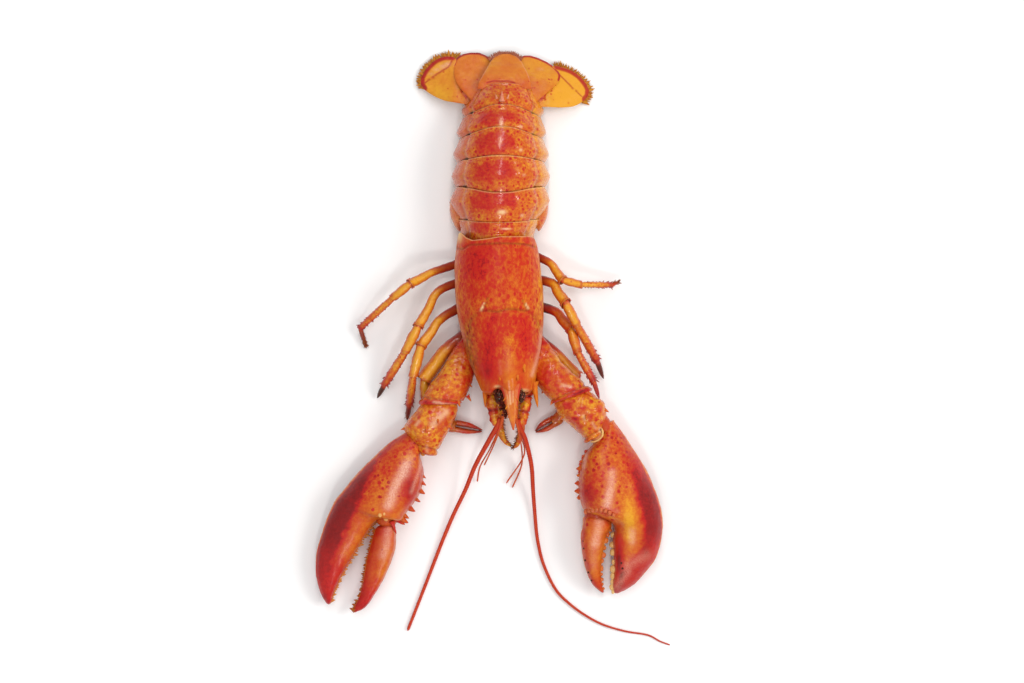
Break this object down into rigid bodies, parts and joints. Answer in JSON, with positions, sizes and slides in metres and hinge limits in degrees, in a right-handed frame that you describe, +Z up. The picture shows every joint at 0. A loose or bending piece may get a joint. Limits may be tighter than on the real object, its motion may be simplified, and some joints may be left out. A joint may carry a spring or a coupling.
{
  "type": "cooked lobster",
  "caption": "Whole cooked clawed lobster lying on its belly, red and orange shell, uneven claws stretched forward, legs out, tail fan spread.",
  "frame": {"origin": "On the table, under the middle of the outline, at the level of the flat underside.", "axes": "+Z up, +Y from the head to the tail fan, -Y to the claws, +X to the animal's own left side, where the thick crusher claw is."},
  "size_m": [0.2016, 0.3401, 0.0449],
  "materials": {
    "shell_red": "cooked shell, glossy, red mottled over orange",
    "shell_orange": "cooked leg and tail fan shell, orange to yellow, semi-gloss",
    "feeler_red": "brick red feelers, fine rings",
    "soft_under": "pale membrane and breastplate of the underside, mouth legs",
    "eye_black": "black eye, wet gloss"
  },
  "bodies": {
    "root": {"antenna_base_left": "shell_orange", "antenna_base_right": "shell_orange", "antenna_left": "feeler_red", "antenna_right": "feeler_red", "antennule_left": "feeler_red", "antennule_right": "feeler_red", "breastplate": "soft_under", "carapace": "shell_red", "crusher_arm": "shell_red", "crusher_finger": "shell_red", "crusher_palm": "shell_red", "crusher_wrist": "shell_red", "cutter_arm": "shell_red", "cutter_finger": "shell_red", "cutter_palm": "shell_red", "cutter_wrist": "shell_red", "eye_left": "eye_black", "eye_right": "eye_black", "fan_base_left": "shell_orange", "fan_base_right": "shell_orange", "fan_inner_left": "shell_orange", "fan_inner_right": "shell_orange", "fan_outer_left": "shell_orange", "fan_outer_right": "shell_orange", "leg_2_left_foot": "shell_orange", "leg_2_left_shin": "shell_orange", "leg_2_left_thigh": "shell_orange", "leg_2_right_foot": "shell_orange", "leg_2_right_shin": "shell_orange", "leg_2_right_thigh": "shell_orange", "leg_3_left_foot": "shell_orange", "leg_3_left_shin": "shell_orange", "leg_3_left_thigh": "shell_orange", "leg_3_right_foot": "shell_orange", "leg_3_right_shin": "shell_orange", "leg_3_right_thigh": "shell_orange", "leg_4_left_foot": "shell_orange", "leg_4_left_shin": "shell_orange", "leg_4_left_thigh": "shell_orange", "leg_4_right_foot": "shell_orange", "leg_4_right_shin": "shell_orange", "leg_4_right_thigh": "shell_orange", "leg_5_left_foot": "shell_orange", "leg_5_left_shin": "shell_orange", "leg_5_left_thigh": "shell_orange", "leg_5_right_foot": "shell_orange", "leg_5_right_shin": "shell_orange", "leg_5_right_thigh": "shell_orange", "maxilliped_left": "soft_under", "maxilliped_right": "soft_under", "tail_ring_1": "shell_red", "tail_ring_2": "shell_red", "tail_ring_3": "shell_red", "tail_ring_4": "shell_red", "tail_ring_5": "shell_red", "tail_ring_6": "shell_red", "telson": "shell_orange"}
  },
  "joints": []
}
